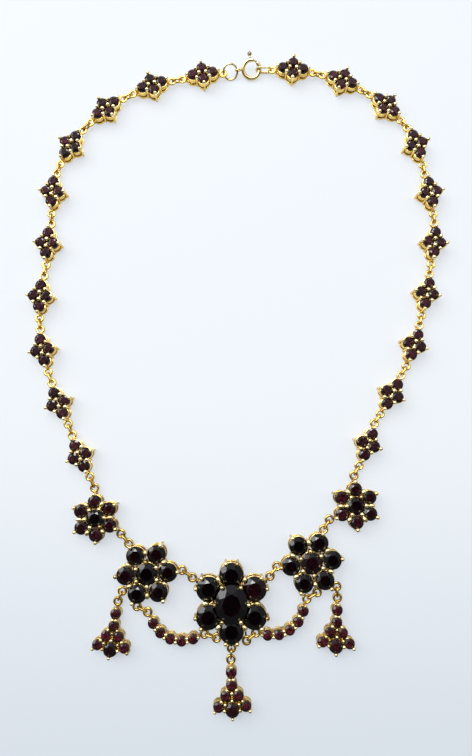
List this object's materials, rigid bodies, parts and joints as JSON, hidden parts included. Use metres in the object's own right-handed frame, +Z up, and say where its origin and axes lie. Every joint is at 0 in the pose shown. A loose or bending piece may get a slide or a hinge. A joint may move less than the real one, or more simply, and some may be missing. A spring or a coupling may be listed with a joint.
{
  "type": "statement necklace",
  "caption": "Antique style cluster necklace of claw-set dark red garnets in gilt metal, with rosettes, swags and drops at the front and a spring ring clasp, laid out flat.",
  "frame": {"origin": "middle of the box of the laid-out necklace, on the surface that it lies on", "axes": "+X to the right of the front view, +Y from the drops to the clasp, +Z up, away from the surface"},
  "size_m": [0.1143, 0.1774, 0.0054],
  "materials": {
    "gilt": "gilt metal, polished on the claw heads and worn warm in the hollows",
    "clasp": "paler gilt wire and tube, polished",
    "garnet": "faceted very dark red garnet, polished"
  },
  "bodies": {
    "root": {"link_left_1": "gilt", "link_left_2": "gilt", "link_left_3": "gilt", "link_left_4": "gilt", "link_left_5": "gilt", "link_left_6": "gilt", "link_left_7": "gilt", "link_left_8": "gilt", "link_left_9": "gilt", "link_left_10": "gilt", "link_right_1": "gilt", "link_right_2": "gilt", "link_right_3": "gilt", "link_right_4": "gilt", "link_right_5": "gilt", "link_right_6": "gilt", "link_right_7": "gilt", "link_right_8": "gilt", "link_right_9": "gilt", "link_right_10": "gilt", "rosette_small_left": "gilt", "rosette_small_right": "gilt", "rosette_medium_left": "gilt", "rosette_medium_right": "gilt", "rosette_centre": "gilt", "swag_left": "gilt", "swag_right": "gilt", "drop_left": "gilt", "drop_centre": "gilt", "drop_right": "gilt", "jump_ring": "clasp", "clasp_ring": "clasp", "catch_link": "clasp", "loose_links_left": "gilt", "loose_links_right": "gilt", "loose_links_front": "gilt", "garnets_chain_left": "garnet", "garnets_chain_right": "garnet", "garnets_small_left": "garnet", "garnets_small_right": "garnet", "garnets_medium_left": "garnet", "garnets_medium_right": "garnet", "garnets_centre": "garnet", "garnet_oval": "garnet", "garnets_swag_left": "garnet", "garnets_swag_right": "garnet", "garnets_drop_left": "garnet", "garnets_drop_centre": "garnet", "garnets_drop_right": "garnet"},
    "bolt": {"clasp_bolt": "clasp"}
  },
  "joints": [
    {"name": "clasp_bolt_slide", "type": "hinge", "parent": "root", "child": "bolt", "pos_m": [0.00366, 0.08468, 0.00156], "axis": [0.0359, -0.4211, 0.9063], "range_deg": [0, 36], "stiffness_Nm_per_rad": 0.0002}
  ]
}
